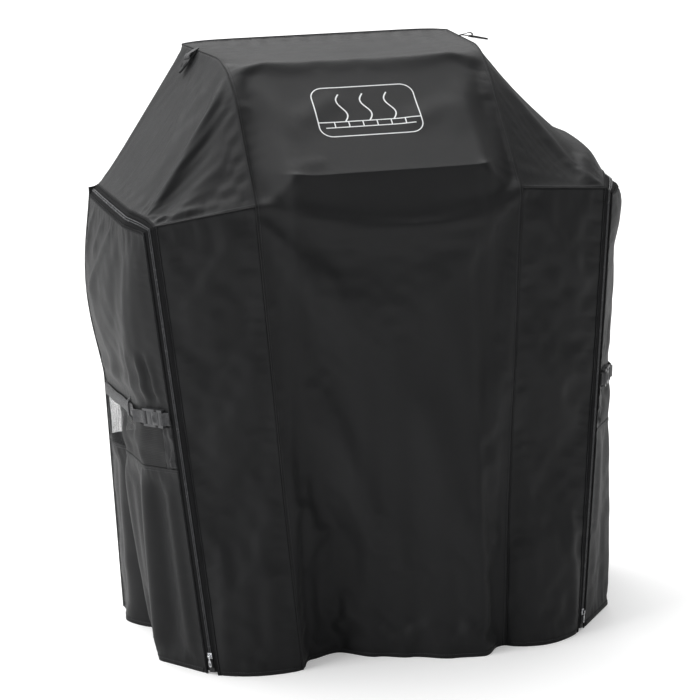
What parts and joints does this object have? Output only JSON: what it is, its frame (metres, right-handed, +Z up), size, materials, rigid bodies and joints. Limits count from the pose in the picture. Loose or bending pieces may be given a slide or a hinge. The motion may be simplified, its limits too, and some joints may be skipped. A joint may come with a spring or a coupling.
{
  "type": "grill cover",
  "caption": "Fitted fabric cover for a gas grill with side shelves: lid hood, shoulders, zipped side flaps with vents, cinch straps with buckles, hanging tabs.",
  "frame": {"origin": "centre of the bounding box on the plane of the hem", "axes": "+Z up, the front with the pictogram faces -Y, +X to the viewer's right"},
  "size_m": [1.061, 0.6191, 1.1525],
  "materials": {
    "cloth": "dark coated polyester with a fine weave and a soft sheen",
    "mesh_cloth": "open knitted mesh",
    "zip_tape": "woven tape",
    "zip_coil": "satin nylon coil",
    "webbing": "ribbed polypropylene webbing",
    "black_plastic": "fine-textured acetal",
    "nickel": "bright nickel plate",
    "print": "matt white screen print"
  },
  "bodies": {
    "cover": {"front_top_panel": "cloth", "left_front_side_panel": "cloth", "left_rear_side_panel": "cloth", "left_rear_vent_mesh": "mesh_cloth", "left_shoulder_panel": "cloth", "left_zip_box": "black_plastic", "left_zip_coil_root": "zip_coil", "left_zip_tape_root": "zip_tape", "printed_emblem": "print", "rear_centre_panel": "cloth", "right_front_side_panel": "cloth", "right_rear_side_panel": "cloth", "right_rear_vent_mesh": "mesh_cloth", "right_shoulder_panel": "cloth", "right_zip_box": "black_plastic", "right_zip_coil_root": "zip_coil", "right_zip_tape_root": "zip_tape"},
    "left_flap": {"left_belt_loop": "webbing", "left_buckle_socket": "black_plastic", "left_edge_strip": "cloth", "left_flap_panel": "cloth", "left_skirt_panel": "cloth", "left_strap": "webbing", "left_strap_anchor": "webbing", "left_vent_mesh": "mesh_cloth", "left_zip_coil_flap": "zip_coil", "left_zip_pin": "black_plastic", "left_zip_tape_flap": "zip_tape"},
    "left_zip_slider": {"left_zip_slider": "nickel"},
    "left_zip_pull": {"left_zip_pull": "nickel"},
    "left_buckle_plug": {"left_buckle_plug": "black_plastic"},
    "left_latch_arm_upper": {"left_latch_arm_upper": "black_plastic"},
    "left_latch_arm_lower": {"left_latch_arm_lower": "black_plastic"},
    "left_tab": {"left_tab_clip": "black_plastic", "left_tab_webbing": "webbing"},
    "right_flap": {"right_belt_loop": "webbing", "right_buckle_socket": "black_plastic", "right_edge_strip": "cloth", "right_flap_panel": "cloth", "right_skirt_panel": "cloth", "right_strap": "webbing", "right_strap_anchor": "webbing", "right_vent_mesh": "mesh_cloth", "right_zip_coil_flap": "zip_coil", "right_zip_pin": "black_plastic", "right_zip_tape_flap": "zip_tape"},
    "right_zip_slider": {"right_zip_slider": "nickel"},
    "right_zip_pull": {"right_zip_pull": "nickel"},
    "right_buckle_plug": {"right_buckle_plug": "black_plastic"},
    "right_latch_arm_upper": {"right_latch_arm_upper": "black_plastic"},
    "right_latch_arm_lower": {"right_latch_arm_lower": "black_plastic"},
    "right_tab": {"right_tab_clip": "black_plastic", "right_tab_webbing": "webbing"}
  },
  "joints": [
    {"name": "left_flap_swing", "type": "hinge", "parent": "cover", "child": "left_flap", "pos_m": [-0.5187, 0.2279, 0.884], "axis": [0.0294, -0.0316, -0.9991], "range_deg": [0, 100]},
    {"name": "left_zip_slide", "type": "slide", "parent": "cover", "child": "left_zip_slider", "axis": [-0.0896, 0.0658, 0.9938], "range_m": [0, 0.8]},
    {"name": "left_zip_pull_swing", "type": "hinge", "parent": "left_zip_slider", "child": "left_zip_pull", "pos_m": [-0.40321, -0.23662, 0.03821], "axis": [-0.7225, 0.6825, -0.1103], "range_deg": [-4, 150]},
    {"name": "left_buckle_release", "type": "slide", "parent": "left_flap", "child": "left_buckle_plug", "axis": [-0.4589, 0.8822, -0.1054], "range_m": [0, 0.03]},
    {"name": "left_latch_upper_flex", "type": "hinge", "parent": "left_buckle_plug", "child": "left_latch_arm_upper", "pos_m": [-0.47876, -0.15292, 0.5116], "axis": [0.8856, 0.4638, 0.0266], "range_deg": [0, 8], "stiffness_Nm_per_rad": 0.2},
    {"name": "left_latch_lower_flex", "type": "hinge", "parent": "left_buckle_plug", "child": "left_latch_arm_lower", "pos_m": [-0.47717, -0.1547, 0.48973], "axis": [-0.8856, -0.4638, -0.0266], "range_deg": [0, 8], "stiffness_Nm_per_rad": 0.2},
    {"name": "left_tab_swing", "type": "hinge", "parent": "cover", "child": "left_tab", "pos_m": [-0.29616, 0.20771, 1.14912], "axis": [-0.2329, 0.9535, -0.1914], "range_deg": [0, 110]},
    {"name": "right_flap_swing", "type": "hinge", "parent": "cover", "child": "right_flap", "pos_m": [0.5293, 0.2229, 0.884], "axis": [0.0158, 0.0531, 0.9985], "range_deg": [0, 100]},
    {"name": "right_zip_slide", "type": "slide", "parent": "cover", "child": "right_zip_slider", "axis": [0.0884, 0.0649, 0.994], "range_m": [0, 0.8]},
    {"name": "right_zip_pull_swing", "type": "hinge", "parent": "right_zip_slider", "child": "right_zip_pull", "pos_m": [0.36595, -0.23681, 0.03783], "axis": [-0.7386, -0.6652, 0.1092], "range_deg": [-4, 150]},
    {"name": "right_buckle_release", "type": "slide", "parent": "right_flap", "child": "right_buckle_plug", "axis": [0.4958, 0.8644, -0.084], "range_m": [0, 0.03]},
    {"name": "right_latch_upper_flex", "type": "hinge", "parent": "right_buckle_plug", "child": "right_latch_arm_upper", "pos_m": [0.44283, -0.15483, 0.51273], "axis": [0.8666, -0.4987, -0.0174], "range_deg": [0, 8], "stiffness_Nm_per_rad": 0.2},
    {"name": "right_latch_lower_flex", "type": "hinge", "parent": "right_buckle_plug", "child": "right_latch_arm_lower", "pos_m": [0.44157, -0.15624, 0.49081], "axis": [-0.8666, 0.4987, 0.0174], "range_deg": [0, 8], "stiffness_Nm_per_rad": 0.2},
    {"name": "right_tab_swing", "type": "hinge", "parent": "cover", "child": "right_tab", "pos_m": [0.25873, 0.20767, 1.14915], "axis": [-0.2152, -0.9652, 0.1484], "range_deg": [-38, 72]}
  ],
  "couplings": [
    {"joint": "left_zip_slide", "follows": "left_flap_swing", "m_per_rad": 0.45},
    {"joint": "right_zip_slide", "follows": "right_flap_swing", "m_per_rad": 0.45}
  ]
}
